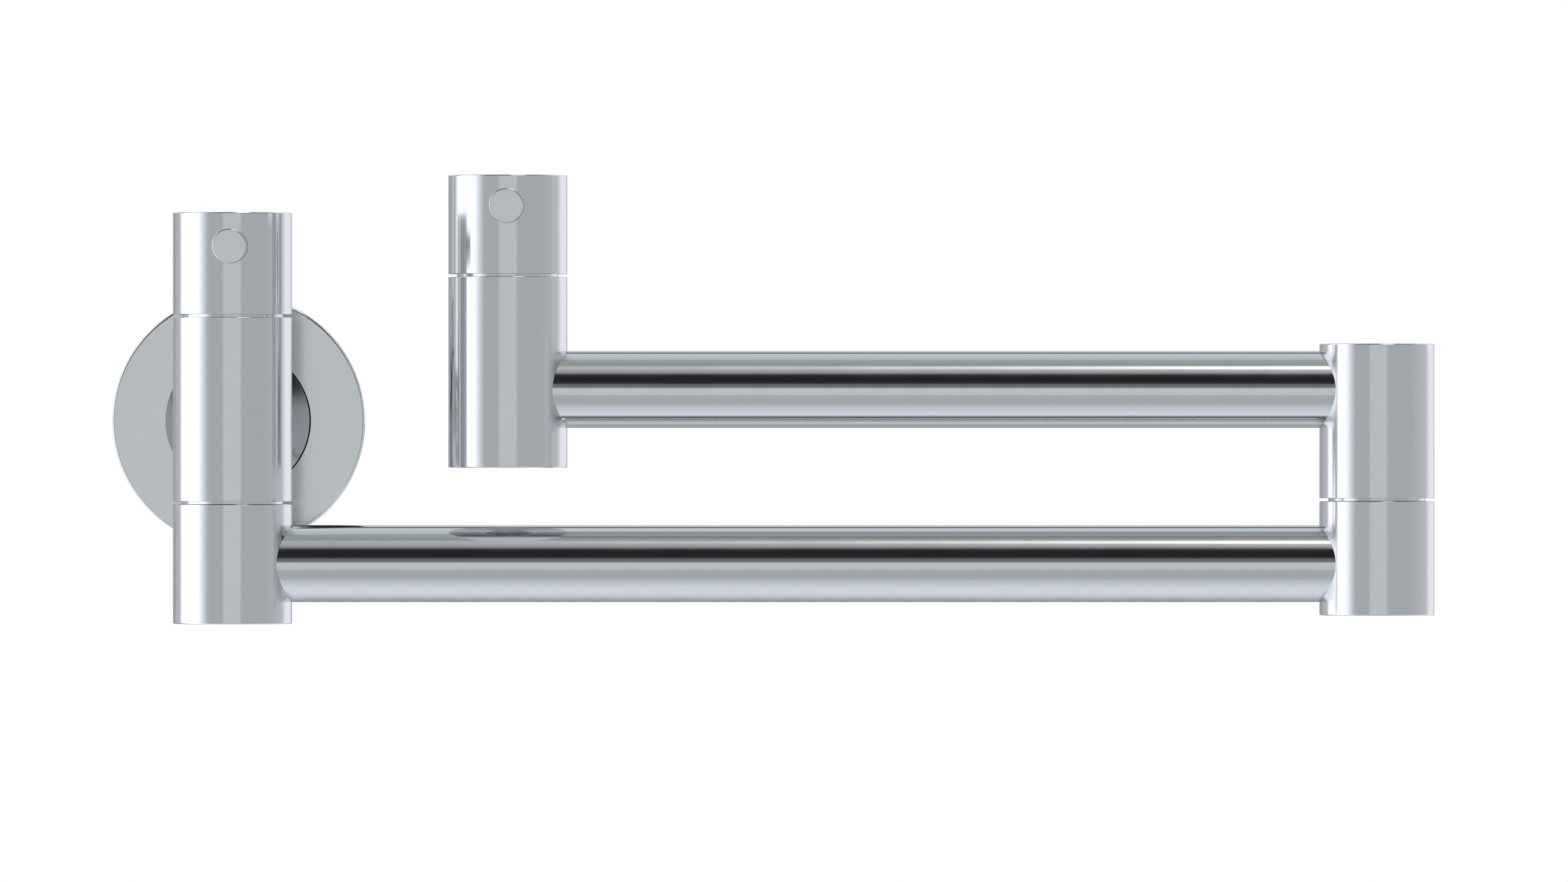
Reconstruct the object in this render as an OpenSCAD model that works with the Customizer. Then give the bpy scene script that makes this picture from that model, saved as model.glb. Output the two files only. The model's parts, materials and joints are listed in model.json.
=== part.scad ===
// Wall mounted pot filler: two swinging arms with a quarter-turn valve at each end.
// Lengths are in millimetres. The wall is the plane Y = 0 and the room is at -Y.
// The inlet pipe's axis is the line X = 0, Z = 0. Every swivel and valve axis is vertical.

/* [Arms] */
// Distance from the wall to the axis of the wall swivel
standoff = 60; // [56:1:80]
// Wall swivel axis to elbow axis
lower_reach = 341.2; // [305:0.1:450]
// Elbow axis to outlet axis
upper_reach = 259.1; // [180:0.1:295]
// Outside diameter of both arm tubes
tube_d = 23; // [19:0.5:24]
// Wall of the arm tubes
tube_wall = 1.5; // [1:0.1:2.5]
// Distance from a body's axis to the end of its tube
tube_seat = 12; // [11:0.1:12.5]
// Depth of the lower tube's axis below the inlet axis
lower_tube_drop = 42.65; // [42:0.05:46]

/* [Round bars] */
// Diameter of the wall body, the lower swivel, the outlet body and the knobs
bar_d = 35.5; // [34.5:0.1:40]
// Diameter of the two elbow bars
elbow_d = 34.3; // [33:0.1:40]
// Open shadow gap between stacked bars
gap = 0.85; // [0.6:0.05:1.8]
// Rounding of the free end edges
end_fillet = 0.4; // [0.2:0.1:1]
// Rounding of the edges that meet at a gap
gap_fillet = 0.2; // [0.1:0.05:0.4]
// Top of the wall body above the inlet axis
wall_body_rise = 30.75; // [29:0.05:33]
// Top of the lower swivel above the lower tube's axis
swivel_head = 17.7; // [15.5:0.1:18.5]
// Bottom of the lower swivel below the lower tube's axis
swivel_foot = 17.95; // [15.5:0.05:24]
// Top of the lower elbow above the lower tube's axis
elbow_head = 18.65; // [15.5:0.05:22]
// Bottom of the lower elbow below the lower tube's axis
elbow_foot = 15.4; // [15.4:0.1:24]
// Bottom of the upper elbow to the upper tube's axis
upper_elbow_shank = 32.45; // [28:0.05:45]
// Top of the upper elbow above the upper tube's axis
upper_elbow_head = 13.6; // [12.5:0.1:20]
// Top of the outlet body above the upper tube's axis
outlet_head = 33.5; // [31:0.05:36]
// Bottom of the outlet body below the upper tube's axis
outlet_foot = 23.35; // [22.5:0.05:30]

/* [Wall flange and neck] */
// Diameter of the flange
flange_d = 76; // [68:1:90]
// Depth of the flange from the wall to its front face
flange_t = 10; // [9:0.5:12]
// Wall of the flange's front plate
flange_plate = 2.4; // [1.5:0.1:3]
// Width of the flange's rim
flange_rim = 4; // [3.5:0.1:6]
// Rounding of the flange's front edge
flange_fillet = 0.7; // [0.3:0.1:1.5]
// Diameter of the neck's collar where it lies on the flange
neck_collar_d = 43.2; // [40:0.1:50]
// Length of the collar behind the neck's flare
neck_collar_l = 7; // [0.5:0.5:10]
// Length of the neck's conical flare
flare_l = 21; // [14:0.5:26]
// Diameter of the neck's straight front end
neck_d = 26.4; // [24:0.1:26.6]
// Distance from the wall body's axis to the neck's seat
neck_seat = 11.6; // [11:0.1:11.8]
// Diameter of the neck's tail inside the flange
tail_d = 26.4; // [25:0.1:28]
// Diameter of the female inlet thread, measured at its wall
inlet_thread_d = 18.6; // [16:0.1:20]
// Length of the female inlet thread
inlet_thread_l = 15; // [12:0.5:18]
// Bore of the water way through the neck
neck_bore_d = 12; // [9:0.5:14]

/* [Knobs] */
// Height of the knob on the wall valve
wall_knob_h = 30.35; // [28:0.05:36]
// Height of the knob on the outlet valve
outlet_knob_h = 29.45; // [28:0.05:36]
// Bottom of a knob to the axis of its lever
lever_rise = 20.2; // [19:0.1:20.5]
// Diameter of a lever
lever_d = 10.2; // [8:0.1:12]
// Knob axis to the front face of its lever
lever_reach = 30; // [24:0.5:60]
// Rounding of a lever's front edge
lever_fillet = 0.45; // [0.2:0.05:1.5]
// Knob axis to the floor of the lever's socket
lever_seat = 13.8; // [12:0.1:15]
// Diameter of the threaded end of a lever
lever_thread_d = 6; // [5:0.5:7]
// Diameter of the splined insert in a knob
insert_d = 16; // [13:0.5:18]
// Height of the splined insert
insert_h = 14.5; // [14.5:0.1:16]
// Depth of the skirt cavity under a knob
skirt_depth = 9; // [8.8:0.1:9.4]

/* [Valve cartridge] */
// Outside diameter of the bonnet ring seen under a knob
bonnet_d = 30.2; // [29.4:0.1:31]
// Wall of the bonnet ring
bonnet_wall = 1; // [0.8:0.1:1.2]
// Height by which the bonnet ring reaches into its knob
bonnet_lap = 2; // [1:0.1:4]
// Depth of the cartridge's shoulder below the top of its body
shoulder_depth = 7; // [6:0.1:8]
// Cartridge shoulder to the seat at the chamber's floor
valve_reach = 32; // [31:0.1:33]
// Depth of the cartridge's thread
valve_thread_depth = 0.95; // [0.6:0.05:1.2]
// Length of the cartridge's thread
valve_thread_l = 12; // [9:0.5:14]
// Gap between the cartridge's barrel and its chamber
chamber_gap = 1.3; // [0.8:0.1:1.6]
// Outside diameter of the cartridge's barrel
barrel_d = 16.4; // [16:0.1:17]
// Wall of the cartridge's barrel
barrel_wall = 0.9; // [0.8:0.1:1.1]
// Gap between the turning disc and the barrel
disc_gap = 0.3; // [0.2:0.1:0.4]
// Thickness of one ceramic disc
disc_t = 3; // [2.4:0.1:3.2]
// Height of the rubber seal under the fixed disc
seal_h = 2.5; // [2:0.1:3]
// Diameter of the valve stem
stem_d = 8; // [7.4:0.1:9]
// Diameter of the cartridge's nose round the stem
nose_d = 13; // [12:0.5:15]
// Height of the nose above the body
nose_h = 8; // [7.6:0.1:8.2]
// Number of spline teeth on the stem
spline_teeth = 20; // [16:1:24]

/* [Swivel spindles] */
// Diameter of a spindle where it turns in its bore
spindle_d = 16; // [15:0.1:17]
// Diameter of the thread that holds a spindle
spindle_thread_d = 18; // [17:0.1:19]
// Length of the thread that holds a spindle
spindle_thread_l = 11; // [8:0.5:11.5]
// Diameter of a spindle's flange
spindle_flange_d = 22; // [20:0.1:24]
// Bore of a spindle
spindle_bore_d = 9; // [7:0.5:9.5]
// Diameter of the thread on a spindle's tail
spindle_tail_d = 10; // [8:0.5:12]
// Outside diameter of the slip ring in the wall swivel's gap
wall_ring_d = 30.2; // [28:0.1:31]
// Outside diameter of the slip ring in the elbow's gap
elbow_ring_d = 29; // [27:0.1:29.6]
// Depth of a slip ring's recess
ring_recess = 2; // [1.5:0.1:2.2]
// Bore of the water ways in the bodies
port_d = 10; // [8:0.5:10]

/* [Aerator] */
// Diameter of the aerator's thread
aerator_d = 24; // [20:0.5:25]
// Depth of the aerator's bore
aerator_depth = 10.5; // [9:0.1:10.6]
// Clear width of the aerator's mouth
mouth_d = 17.6; // [14:0.1:18]

/* [Hidden] */
$fn = 96;

// Overrun of every cut past the face it opens
over = 0.5;
// Radial clearance of a piece fixed in its socket
fit = 0.05;
// Radial clearance of a piece that turns in its bore
run = 0.05;
// Clearance between pieces that move past each other without touching
free = 0.3;

// Heights of the stacked bars, from the inlet axis
lower_z = -lower_tube_drop;
swivel_top = lower_z + swivel_head;
swivel_low = lower_z - swivel_foot;
wall_body_low = swivel_top + gap;
wall_body_top = wall_body_rise;
lower_elbow_top = lower_z + elbow_head;
lower_elbow_low = lower_z - elbow_foot;
upper_elbow_low = lower_elbow_top + gap;
upper_z = upper_elbow_low + upper_elbow_shank;
upper_elbow_top = upper_z + upper_elbow_head;
outlet_top = upper_z + outlet_head;
outlet_low = upper_z - outlet_foot;
outlet_x = lower_reach - upper_reach;

// Flange: gasket groove in the rim, hub and o-ring round the neck's tail
gasket_w = 2;
gasket_t = 1.5;
hub_wall = 3.8;
hub_back = 3;
tail_ring_d = 1.5;
neck_seal_t = 1.2;
neck_seal_w = 3.5;

// Cartridge: chamber, thread, barrel, collar, hexagon, o-ring and stack of discs over the seat
chamber_d = barrel_d + 2 * chamber_gap;
valve_thread_d = chamber_d + 2 * valve_thread_depth;
barrel_bore_d = barrel_d - 2 * barrel_wall;
disc_d = barrel_bore_d - 2 * disc_gap;
collar_d = 27;
collar_t = 2;
hex_across = 22;
valve_ring_d = 1.1;
barrel_lift = 1.2;
valve_seal_w = 2.75;
seat_bore_d = barrel_bore_d - 2 * fit - 2 * valve_seal_w;
cavity_depth = 14;
port_inner_r = 2.2;
port_rim = 1;
port_outer_r = disc_d / 2 - port_rim;
port_angle = 76;
window_angle = 84;
window_h = 4.2;
slot_w = 4;
slot_depth = 1.2;
lug_angle = 60;
lug_depth = 1.9;
lug_inner_r = barrel_bore_d / 2 - lug_depth;
stop_angle = 26;
disc_low = seal_h;
moving_low = disc_low + disc_t;
foot_low = moving_low + disc_t;

// Stem above the body: o-ring, clip, spline and plain end
stem_ring_d = 1.3;
stem_ring_rise = 3;
clip_lift = 0.2;
clip_t = 0.9;
clip_d = 11;
clip_groove_d = 6.4;
clip_mouth_angle = 60;
spline_lift = 0.5;
spline_l = 7.4;
spline_tooth = 0.9;
spline_step = 0.2;
pin_d = 5.6;

// Spindle: o-rings, water groove, washer, nut and plug
spindle_ring_d = 1.6;
groove_spare = 0.3;
water_groove_d = 12;
cross_bore_d = 7;
washer_d = 21;
washer_t = 1;
nut_across = 17;
nut_h = 3;
nut_spare = 0.5;
tail_cavity_d = 22.6;
plug_d = 25;
plug_t = 2.5;
plug_fillet = 0.3;
spanner_hole_d = 2.4;
spanner_hole_depth = 1.4;
spanner_hole_r = 8;
tail_cavity_h = washer_t + nut_h + nut_spare + plug_t;

// Aerator: housing, screen and washer
aerator_recess = 0.5;
aerator_washer_t = 1.5;
aerator_washer_w = 4;
housing_wall = 1.7;
housing_lip = 1.5;
screen_t = 3;
screen_hole_d = 2.2;
screen_pitch = 3;
screen_rings = 2;
key_notches = 12;
key_notch_w = 1.6;
key_notch_depth = 0.8;

// Solid of revolution of a bar whose two end edges are rounded
module bar(d, low, high, low_fillet, high_fillet) {
    translate([0, 0, low])
        rotate_extrude()
            bar_outline(d / 2, high - low, low_fillet, high_fillet);
}

module bar_outline(r, h, low_fillet, high_fillet) {
    difference() {
        square([r, h]);
        translate([r - low_fillet, -over])
            square([low_fillet + over, low_fillet + over]);
        translate([r - high_fillet, h - high_fillet])
            square([high_fillet + over, high_fillet + over]);
    }
    translate([r - low_fillet, low_fillet])
        circle(low_fillet);
    translate([r - high_fillet, h - high_fillet])
        circle(high_fillet);
}

// Plain round rod or bore between two heights
module rod(d, low, high) {
    translate([0, 0, low])
        cylinder(d = d, h = high - low);
}

// Flat ring between two heights
module ring(outer_d, inner_d, low, high) {
    difference() {
        rod(outer_d, low, high);
        rod(inner_d, low - over, high + over);
    }
}

// Part of a ring, from one angle through a sweep
module ring_sector(inner_r, outer_r, low, high, start, sweep) {
    translate([0, 0, low])
        rotate([0, 0, start])
            rotate_extrude(angle = sweep)
                translate([inner_r, 0])
                    square([outer_r - inner_r, high - low]);
}

// Rubber ring of round section whose outside touches a given radius
module o_ring(outer_r, section_d, z) {
    translate([0, 0, z])
        rotate_extrude()
            translate([outer_r - section_d / 2, 0])
                circle(d = section_d);
}

module hexagon(across, low, high) {
    translate([0, 0, low])
        cylinder(d = across / cos(30), h = high - low, $fn = 6);
}

module at_wall() {
    translate([0, -standoff, 0])
        children();
}

module at_elbow() {
    translate([lower_reach, -standoff, 0])
        children();
}

module at_outlet() {
    translate([outlet_x, -standoff, 0])
        children();
}

// Turns a vertical axis so that it runs out of the wall
module out_of_wall() {
    rotate([90, 0, 0])
        children();
}

// Socket for a tube that leaves a body to one side, with its water way; side is 1 for +X and -1 for -X
module tube_socket(z, side) {
    translate([0, 0, z])
        rotate([0, 90 * side, 0]) {
            rod(tube_d + 2 * fit, tube_seat, bar_d);
            rod(port_d, 0, tube_seat + over);
        }
}

module arm_tube(from_x, to_x, z) {
    translate([from_x, -standoff, z])
        rotate([0, 90, 0])
            ring(tube_d, tube_d - 2 * tube_wall, tube_seat, to_x - from_x - tube_seat);
}

// Flange with a hollow back, a hub for the neck's tail and a groove for its gasket
module wall_flange() {
    flange_r = flange_d / 2;
    bore_r = tail_d / 2 + fit;
    hub_r = bore_r + hub_wall;
    color("silver")
        out_of_wall()
            rotate_extrude()
                difference() {
                    bar_outline(flange_r, flange_t, end_fillet, flange_fillet);
                    translate([0, -over])
                        square([bore_r, flange_t + 2 * over]);
                    translate([0, -over])
                        square([hub_r + over, hub_back + over]);
                    translate([hub_r, -over])
                        square([flange_r - flange_rim - hub_r, flange_t - flange_plate + over]);
                    translate([bore_r - over, hub_back + tail_ring_d])
                        square([tail_ring_d + over, tail_ring_d + 2 * fit]);
                    translate([gasket_inner_r() - fit, -over])
                        square([gasket_w + 2 * fit, gasket_t + over]);
                }
}

function gasket_inner_r() = flange_d / 2 - (flange_rim + gasket_w) / 2;

module wall_gasket() {
    color("dimgray")
        out_of_wall()
            ring(2 * (gasket_inner_r() + gasket_w), 2 * gasket_inner_r(), 0, gasket_t);
}

module flange_o_ring() {
    color("black")
        out_of_wall()
            o_ring(tail_d / 2 + fit + tail_ring_d, tail_ring_d, hub_back + 1.5 * tail_ring_d + fit);
}

// Turned neck: tail with the female inlet thread, collar, conical flare and straight front end
module inlet_neck() {
    neck_l = standoff - neck_seat;
    color("silver")
        out_of_wall()
            difference() {
                union() {
                    rod(tail_d, 0, flange_t + neck_collar_l);
                    rod(neck_collar_d, flange_t, flange_t + neck_collar_l);
                    translate([0, 0, flange_t + neck_collar_l])
                        cylinder(d1 = neck_collar_d, d2 = neck_d, h = flare_l);
                    rod(neck_d, flange_t, neck_l);
                }
                rod(inlet_thread_d, -over, inlet_thread_l);
                rod(neck_bore_d, -over, neck_l + over);
                rod(neck_seal_outer_d() + 2 * fit, neck_l - neck_seal_t, neck_l + over);
            }
}

function neck_seal_outer_d() = neck_bore_d + 2 * neck_seal_w;

module neck_seal() {
    neck_l = standoff - neck_seat;
    color("black")
        out_of_wall()
            ring(neck_seal_outer_d(), neck_bore_d, neck_l - neck_seal_t, neck_l);
}

// Everything bored into a body for its cartridge: top is the height of the body's upper face,
// and drain the height down to which the seat's bore runs
module valve_bore(top, drain) {
    shoulder = top - shoulder_depth;
    seat = shoulder - valve_reach;
    rod(bonnet_d + 2 * fit, shoulder, top + over);
    rod(valve_thread_d + 2 * (valve_ring_d + fit), shoulder - valve_ring_d - fit, shoulder + over);
    rod(valve_thread_d + 2 * fit, shoulder - valve_thread_l - free, shoulder + over);
    rod(chamber_d, seat, shoulder);
    rod(seat_bore_d, drain - over, seat + over);
}

// Recess, thread and water way for a spindle that hangs from a body; low is the body's lower face
module spindle_socket(low, ring_d) {
    rod(ring_d + 2 * fit, low - over, low + ring_recess);
    rod(spindle_thread_d + 2 * fit, low - over, low + ring_recess + spindle_thread_l + free);
}

module wall_body() {
    color("silver")
        at_wall()
            difference() {
                bar(bar_d, wall_body_low, wall_body_top, gap_fillet, gap_fillet);
                valve_bore(wall_body_top, wall_body_low + ring_recess + spindle_thread_l);
                spindle_socket(wall_body_low, wall_ring_d);
                rotate([-90, 0, 0]) {
                    rod(neck_d + 2 * fit, neck_seat, bar_d);
                    rod(port_d, 0, neck_seat + over);
                }
            }
}

// Brass cartridge: barrel with two windows, thread, collar, hexagon and nose
module valve_body(top) {
    shoulder = top - shoulder_depth;
    seat = shoulder - valve_reach;
    window_low = seat + moving_low + free;
    color("goldenrod")
        difference() {
            union() {
                rod(barrel_d, seat + barrel_lift, shoulder);
                rod(valve_thread_d, shoulder - valve_thread_l, shoulder + over);
                rod(collar_d, shoulder, shoulder + collar_t);
                hexagon(hex_across, shoulder, top);
                rod(nose_d, shoulder, top + nose_h);
            }
            rod(barrel_bore_d, seat, seat + cavity_depth);
            rod(stem_d + 2 * run, seat, top + nose_h + over);
            for (side = [0, 180])
                ring_sector(barrel_bore_d / 4, barrel_d, window_low, window_low + window_h,
                    side - window_angle / 2, window_angle);
        }
    color("goldenrod")
        for (side = [90, 270])
            ring_sector(lug_inner_r + free, barrel_bore_d / 2, seat + foot_low + free, seat + cavity_depth,
                side - stop_angle / 2, stop_angle);
}

module valve_seal(top) {
    seat = top - shoulder_depth - valve_reach;
    color("black")
        ring(barrel_bore_d - 2 * fit, seat_bore_d, seat, seat + seal_h);
}

// Ceramic disc with two sector ports
module fixed_disc(top) {
    seat = top - shoulder_depth - valve_reach;
    color("white")
        difference() {
            rod(barrel_bore_d - 2 * fit, seat + disc_low, seat + moving_low);
            for (side = [0, 180])
                ring_sector(port_inner_r, port_outer_r, seat, seat + foot_low,
                    side - port_angle / 2, port_angle);
        }
}

// Ceramic disc with two notches, shut at rest, and a slot on top for the stem's tongue
module moving_disc(top) {
    seat = top - shoulder_depth - valve_reach;
    color("white")
        difference() {
            rod(disc_d, seat + moving_low, seat + foot_low);
            for (side = [90, 270])
                ring_sector(port_inner_r, disc_d, seat, seat + cavity_depth,
                    side - port_angle / 2, port_angle);
            translate([-disc_d, -slot_w / 2, seat + foot_low - slot_depth])
                cube([2 * disc_d, slot_w, disc_t]);
        }
}

module valve_o_ring(top) {
    color("black")
        o_ring(valve_thread_d / 2 + valve_ring_d, valve_ring_d,
            top - shoulder_depth - valve_ring_d / 2);
}

module bonnet_ring(top) {
    color("gainsboro")
        ring(bonnet_d, bonnet_d - 2 * bonnet_wall, top - shoulder_depth, top + gap + bonnet_lap);
}

// Outline of the splined stem, grown by a clearance for the insert's broached bore
module spline_outline(grow) {
    root_r = stem_d / 2 - spline_step - spline_tooth / 2;
    circle(root_r + grow);
    for (i = [0 : spline_teeth - 1])
        rotate([0, 0, i * 360 / spline_teeth])
            translate([root_r, 0])
                rotate([0, 0, 45])
                    square(spline_tooth / sqrt(2) + 2 * grow, center = true);
}

// Stem: tongue and stop lugs at its foot, o-ring and clip grooves, spline and plain end.
// A quarter turn takes the lugs from just clear of one pair of stops to just clear of the next.
module valve_stem(top) {
    seat = top - shoulder_depth - valve_reach;
    foot = seat + foot_low;
    clip_z = top + nose_h + clip_lift;
    spline_z = clip_z + clip_t + spline_lift;
    lever_z = top + gap + lever_rise;
    ring_z = top + stem_ring_rise;
    lug_r = barrel_bore_d / 2 - free;
    lug_top = seat + cavity_depth - free;
    color("goldenrod") {
        difference() {
            union() {
                rod(2 * lug_r, foot - slot_depth + fit, lug_top);
                rod(stem_d, lug_top - over, spline_z);
            }
            for (side = [45, 225])
                ring_sector(lug_inner_r, barrel_d, foot - slot_depth, lug_top + over,
                    side + lug_angle / 2 - 90, 180 - lug_angle);
            for (turn = [0, 180])
                rotate([0, 0, turn])
                    translate([-barrel_d, slot_w / 2 - fit, foot - slot_depth])
                        cube([2 * barrel_d, barrel_d, slot_depth]);
            ring(2 * stem_d, stem_d - 2 * stem_ring_d, ring_z - stem_ring_d / 2 - fit,
                ring_z + stem_ring_d / 2 + fit);
            ring(2 * stem_d, clip_groove_d, clip_z - fit, clip_z + clip_t + fit);
        }
        translate([0, 0, spline_z])
            linear_extrude(spline_l)
                spline_outline(0);
        rod(pin_d, spline_z, lever_z + lever_thread_d / 2);
    }
}

module stem_o_ring(top) {
    color("black")
        o_ring(stem_d / 2, stem_ring_d, top + stem_ring_rise);
}

module stem_clip(top) {
    clip_z = top + nose_h + clip_lift;
    color("gray")
        ring_sector(clip_groove_d / 2 + fit, clip_d / 2, clip_z, clip_z + clip_t,
            clip_mouth_angle / 2, 360 - clip_mouth_angle);
}

// Knob: a bar with a skirt cavity below, a bore for its insert and a socket for its lever
module knob(low, h) {
    color("silver")
        difference() {
            bar(bar_d, low, low + h, gap_fillet, end_fillet);
            rod(bonnet_d + 2 * free, low - over, low + skirt_depth);
            rod(insert_d, low, low + skirt_depth + insert_h + fit);
            translate([0, 0, low + lever_rise])
                out_of_wall() {
                    rod(lever_d + 2 * fit, lever_seat, bar_d);
                    rod(lever_thread_d + 2 * fit, 0, lever_seat + over);
                }
        }
}

// Lever: a round pin with a threaded end that locks the insert on the stem
module lever(low) {
    color("silver")
        translate([0, 0, low + lever_rise])
            out_of_wall() {
                bar(lever_d, lever_seat, lever_reach, gap_fillet, lever_fillet);
                rod(lever_thread_d, pin_d / 2 + 2 * fit, lever_seat + over);
            }
}

module knob_insert(low) {
    insert_low = low + skirt_depth;
    spline_top = low - gap + nose_h + clip_lift + clip_t + spline_lift + spline_l;
    color("goldenrod")
        difference() {
            rod(insert_d - 2 * fit, insert_low, insert_low + insert_h);
            translate([0, 0, insert_low - over])
                linear_extrude(spline_top + fit - insert_low + over)
                    spline_outline(fit);
            rod(pin_d + 4 * fit, insert_low, insert_low + insert_h + over);
            translate([0, 0, low + lever_rise])
                out_of_wall()
                    rod(lever_thread_d + 2 * fit, 0, insert_d);
        }
}

// Hollow spindle: low is the lower face of the body that holds it, foot the shoulder it hangs to,
// and water the height of the tube that it feeds
module spindle(low, foot, water) {
    color("goldenrod")
        difference() {
            union() {
                rod(spindle_thread_d, low, low + ring_recess + spindle_thread_l);
                rod(spindle_flange_d, low, low + ring_recess);
                rod(spindle_d, foot, low + ring_recess);
                rod(spindle_tail_d, foot - washer_t - nut_h, foot + over);
            }
            rod(spindle_bore_d, water - port_d / 2, low + ring_recess + spindle_thread_l + over);
            ring(2 * spindle_d, water_groove_d, water - port_d / 2, water + port_d / 2);
            for (z = spindle_ring_z(low, foot, water))
                ring(2 * spindle_d, spindle_d - 2 * spindle_ring_d,
                    z - (spindle_ring_d + groove_spare) / 2, z + (spindle_ring_d + groove_spare) / 2);
            translate([0, 0, water])
                for (turn = [0, 90])
                    rotate([0, 90, turn])
                        rod(cross_bore_d, -spindle_d, spindle_d);
        }
}

// The o-rings lie midway between the water groove and the two ends of the bore
function spindle_ring_z(low, foot, water) = [
    (low - gap + water + port_d / 2) / 2,
    (foot + water - port_d / 2) / 2
];

module spindle_o_rings(low, foot, water) {
    color("black")
        for (z = spindle_ring_z(low, foot, water))
            o_ring(spindle_d / 2, spindle_ring_d, z);
}

module slip_ring(low, ring_d) {
    color("gainsboro")
        ring(ring_d, spindle_flange_d + 2 * fit, low - gap, low + ring_recess);
}

module spindle_washer(foot) {
    color("gray")
        ring(washer_d, spindle_tail_d + 2 * fit, foot - washer_t, foot);
}

module spindle_nut(foot) {
    color("goldenrod")
        difference() {
            hexagon(nut_across, foot - washer_t - nut_h, foot - washer_t);
            rod(spindle_tail_d + 2 * fit, foot - washer_t - nut_h - over, foot);
        }
}

// Bore that a spindle turns in, with the cavity for its nut and the seat of its plug
module spindle_bore(low, high) {
    foot = low + tail_cavity_h;
    rod(spindle_d + 2 * run, low, high + over);
    rod(tail_cavity_d, low, foot);
    rod(plug_d, low - over, low + plug_t);
}

// Screwed plug that closes the nut's cavity, with two spanner holes
module plug(low) {
    color("silver")
        difference() {
            bar(plug_d - 2 * fit, low, low + plug_t, plug_fillet, gap_fillet);
            for (side = [-1, 1])
                translate([0, side * spanner_hole_r, 0])
                    rod(spanner_hole_d, low - over, low + spanner_hole_depth);
        }
}

module swivel_body() {
    color("silver")
        at_wall()
            difference() {
                bar(bar_d, swivel_low, swivel_top, end_fillet, gap_fillet);
                spindle_bore(swivel_low, swivel_top);
                tube_socket(lower_z, 1);
            }
}

module lower_elbow() {
    color("silver")
        at_elbow()
            difference() {
                bar(elbow_d, lower_elbow_low, lower_elbow_top, end_fillet, gap_fillet);
                spindle_bore(lower_elbow_low, lower_elbow_top);
                tube_socket(lower_z, -1);
            }
}

module upper_elbow() {
    color("silver")
        at_elbow()
            difference() {
                bar(elbow_d, upper_elbow_low, upper_elbow_top, gap_fillet, end_fillet);
                spindle_socket(upper_elbow_low, elbow_ring_d);
                rod(port_d, upper_elbow_low, upper_z + port_d / 2);
                tube_socket(upper_z, -1);
            }
}

module outlet_body() {
    color("silver")
        at_outlet()
            difference() {
                bar(bar_d, outlet_low, outlet_top, end_fillet, gap_fillet);
                valve_bore(outlet_top, outlet_low + aerator_depth);
                rod(aerator_d, outlet_low - over, outlet_low + aerator_depth);
                tube_socket(upper_z, 1);
            }
}

// Aerator housing: a threaded sleeve with a lip round the mouth and notches for its key
module aerator_housing() {
    low = outlet_low + aerator_recess;
    high = outlet_low + aerator_depth - aerator_washer_t;
    bore_d = aerator_d - 2 * fit - 2 * housing_wall;
    color("gainsboro")
        at_outlet()
            difference() {
                rod(aerator_d - 2 * fit, low, high);
                rod(mouth_d, low - over, high);
                rod(bore_d, low + housing_lip, high + over);
                for (i = [0 : key_notches - 1])
                    rotate([0, 0, i * 360 / key_notches])
                        translate([mouth_d / 2 - over, -key_notch_w / 2, low - over])
                            cube([key_notch_depth + over, key_notch_w, key_notch_depth + over]);
            }
}

// Perforated screen that lies on the housing's lip
module aerator_screen() {
    low = outlet_low + aerator_recess + housing_lip;
    screen_d = aerator_d - 4 * fit - 2 * housing_wall;
    color("gray")
        at_outlet()
            difference() {
                rod(screen_d, low, low + screen_t);
                for (i = [-screen_rings : screen_rings], j = [-screen_rings : screen_rings])
                    if (abs(i + j) <= screen_rings)
                        translate([(i + j / 2) * screen_pitch, j * screen_pitch * sqrt(3) / 2, 0])
                            rod(screen_hole_d, low - over, low + screen_t + over);
            }
}

module aerator_washer() {
    high = outlet_low + aerator_depth;
    color("black")
        at_outlet()
            ring(aerator_d - 2 * fit, aerator_d - 2 * aerator_washer_w, high - aerator_washer_t, high);
}

wall_gasket();
wall_flange();
flange_o_ring();
inlet_neck();
neck_seal();
wall_body();
at_wall() valve_body(wall_body_top);  // wall_valve_body
at_wall() valve_seal(wall_body_top);  // wall_valve_seal
at_wall() fixed_disc(wall_body_top);  // wall_fixed_disc
at_wall() valve_o_ring(wall_body_top);  // wall_valve_o_ring
at_wall() bonnet_ring(wall_body_top);  // wall_bonnet_ring
at_wall() spindle(wall_body_low, swivel_low + tail_cavity_h, lower_z);  // wall_spindle
at_wall() spindle_o_rings(wall_body_low, swivel_low + tail_cavity_h, lower_z);  // wall_spindle_o_rings
at_wall() slip_ring(wall_body_low, wall_ring_d);  // wall_slip_ring
at_wall() spindle_washer(swivel_low + tail_cavity_h);  // wall_spindle_washer
at_wall() spindle_nut(swivel_low + tail_cavity_h);  // wall_spindle_nut
at_wall() knob(wall_body_top + gap, wall_knob_h);  // wall_knob
at_wall() lever(wall_body_top + gap);  // wall_lever
at_wall() knob_insert(wall_body_top + gap);  // wall_knob_insert
at_wall() valve_stem(wall_body_top);  // wall_stem
at_wall() moving_disc(wall_body_top);  // wall_moving_disc
at_wall() stem_o_ring(wall_body_top);  // wall_stem_o_ring
at_wall() stem_clip(wall_body_top);  // wall_stem_clip
swivel_body();
at_wall() plug(swivel_low);  // swivel_plug
arm_tube(0, lower_reach, lower_z);  // lower_tube
lower_elbow();
at_elbow() plug(lower_elbow_low);  // elbow_plug
upper_elbow();
at_elbow() spindle(upper_elbow_low, lower_elbow_low + tail_cavity_h, lower_z);  // elbow_spindle
at_elbow() spindle_o_rings(upper_elbow_low, lower_elbow_low + tail_cavity_h, lower_z);  // elbow_spindle_o_rings
at_elbow() slip_ring(upper_elbow_low, elbow_ring_d);  // elbow_slip_ring
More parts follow.
